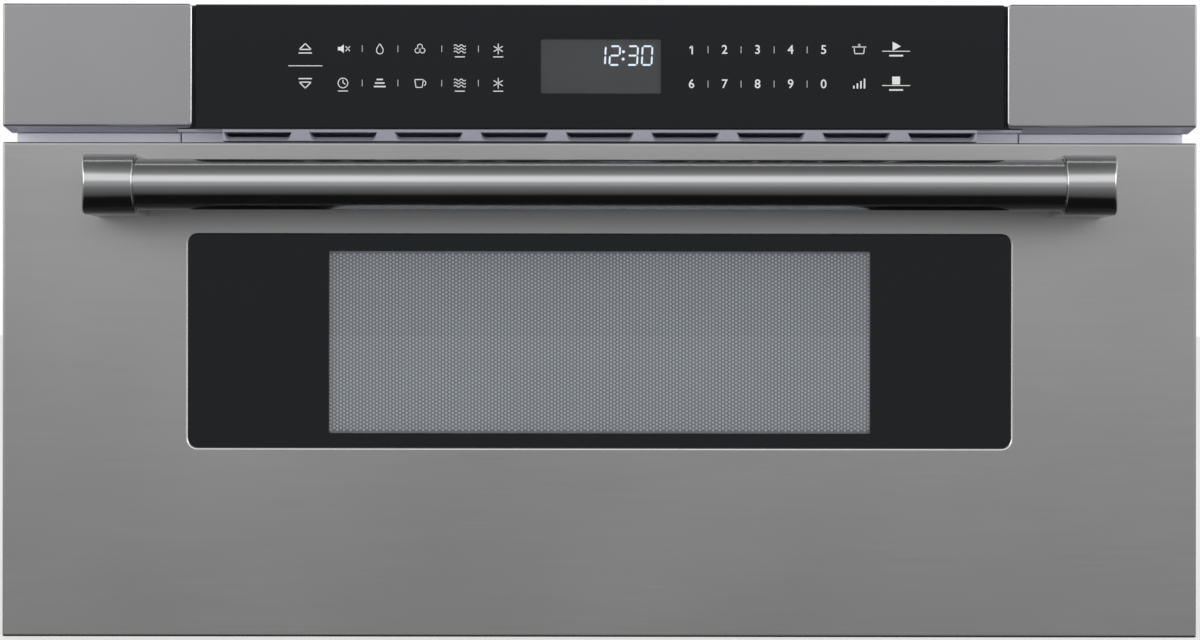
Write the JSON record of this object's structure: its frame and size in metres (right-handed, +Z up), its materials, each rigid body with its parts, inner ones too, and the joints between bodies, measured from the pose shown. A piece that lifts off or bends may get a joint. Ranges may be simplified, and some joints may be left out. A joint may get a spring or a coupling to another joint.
{
  "type": "microwave drawer",
  "caption": "Built-in microwave drawer: a case with a motor-driven sliding drawer, a tubular handle, a windowed door, and a touch control panel over a ventilation band.",
  "frame": {"origin": "middle of the part's plan, level with the door's lower edge", "axes": "+X to the right seen from the front, the front faces -Y, +Z up"},
  "size_m": [0.759, 0.669, 0.4024],
  "materials": {
    "brushed_stainless": "brushed stainless sheet, satin",
    "handle_steel": "brushed stainless tube and solid ends, satin",
    "galvanised_sheet": "zinc-coated sheet, dull",
    "vent_steel": "grey coated sheet, satin",
    "cavity_enamel": "baked light grey paint",
    "control_black_glass": "back-printed black glass, gloss",
    "window_black_glass": "black glass with a clear middle, gloss",
    "inner_clear_glass": "clear glass",
    "screen_steel": "perforated sheet, grey",
    "black_plastic": "moulded, fine grain",
    "tub_plastic": "moulded, smooth",
    "tray_ceramic": "glass-ceramic plate, smooth",
    "mica_sheet": "pressed mica",
    "board_laminate": "printed circuit board",
    "copper_wire": "enamelled wire",
    "core_steel": "varnished laminated steel",
    "aluminium": "bare, dull",
    "white_nylon": "moulded nylon"
  },
  "bodies": {
    "chassis": {"front_flange": "galvanised_sheet", "base_pan": "galvanised_sheet", "top_cover": "galvanised_sheet", "side_panel_left": "galvanised_sheet", "side_panel_right": "galvanised_sheet", "back_panel": "galvanised_sheet", "cavity_sleeve": "cavity_enamel", "cavity_back": "cavity_enamel", "stirrer_cover": "mica_sheet", "oven_lamp": "white_nylon", "waveguide": "galvanised_sheet", "stirrer_motor": "white_nylon", "magnetron": "aluminium", "transformer_core": "core_steel", "transformer_winding": "copper_wire", "capacitor": "aluminium", "fan_housing": "black_plastic", "fan_motor": "core_steel", "air_duct": "galvanised_sheet", "rail_outer_left": "galvanised_sheet", "rail_outer_right": "galvanised_sheet", "rail_bracket_left": "galvanised_sheet", "rail_bracket_right": "galvanised_sheet", "gearbox_bracket": "galvanised_sheet", "drive_motor": "core_steel", "switch_holder_left": "black_plastic", "switch_holder_right": "black_plastic", "noise_filter": "board_laminate", "cord_gland": "black_plastic", "control_glass": "control_black_glass", "control_housing": "black_plastic", "display_module": "black_plastic", "control_board": "board_laminate", "trim_left": "brushed_stainless", "trim_right": "brushed_stainless", "vent_grille": "vent_steel", "vent_strip_left": "vent_steel", "vent_strip_right": "vent_steel"},
    "drawer": {"door_skin": "brushed_stainless", "window_glass": "window_black_glass", "perforated_screen": "screen_steel", "door_frame": "galvanised_sheet", "choke_cover": "black_plastic", "inner_glass": "inner_clear_glass", "handle_bar": "handle_steel", "handle_bracket_left": "handle_steel", "handle_bracket_right": "handle_steel", "drawer_tub": "tub_plastic", "tray_plate": "tray_ceramic", "rail_inner_left": "galvanised_sheet", "rail_inner_right": "galvanised_sheet", "gear_rack": "white_nylon", "interlock_hook_left": "white_nylon", "interlock_hook_right": "white_nylon"},
    "rail_middle_left": {"rail_middle_left": "galvanised_sheet"},
    "rail_middle_right": {"rail_middle_right": "galvanised_sheet"},
    "drive_shaft": {"drive_shaft": "white_nylon"},
    "motor_gear": {"motor_gear": "white_nylon"},
    "fan_impeller": {"fan_impeller": "black_plastic"},
    "stirrer_blade": {"stirrer_blade": "aluminium"}
  },
  "joints": [
    {"name": "drawer_slide", "type": "slide", "parent": "chassis", "child": "drawer", "axis": [0, -1, 0], "range_m": [0, 0.381]},
    {"name": "rail_middle_left_slide", "type": "slide", "parent": "chassis", "child": "rail_middle_left", "axis": [0, -1, 0], "range_m": [0, 0.1905]},
    {"name": "rail_middle_right_slide", "type": "slide", "parent": "chassis", "child": "rail_middle_right", "axis": [0, -1, 0], "range_m": [0, 0.1905]},
    {"name": "drive_shaft_spin", "type": "hinge", "parent": "chassis", "child": "drive_shaft", "pos_m": [0, -0.21445, 0.032], "axis": [1, 0, 0], "range_deg": [0, 1820]},
    {"name": "motor_gear_spin", "type": "hinge", "parent": "chassis", "child": "motor_gear", "pos_m": [0.01425, -0.19045, 0.032], "axis": [1, 0, 0], "range_deg": [-5460, 0]},
    {"name": "fan_spin", "type": "hinge", "parent": "chassis", "child": "fan_impeller", "pos_m": [-0.1795, 0.27295, 0.2363], "axis": [1, 0, 0], "continuous": true},
    {"name": "stirrer_spin", "type": "hinge", "parent": "chassis", "child": "stirrer_blade", "pos_m": [0, -0.02825, 0.264], "axis": [0, 0, 1], "continuous": true}
  ],
  "couplings": [
    {"joint": "rail_middle_left_slide", "follows": "drawer_slide", "ratio": 0.5},
    {"joint": "rail_middle_right_slide", "follows": "drawer_slide", "ratio": 0.5},
    {"joint": "drive_shaft_spin", "follows": "drawer_slide", "rad_per_m": 83.333},
    {"joint": "motor_gear_spin", "follows": "drawer_slide", "rad_per_m": -250}
  ]
}
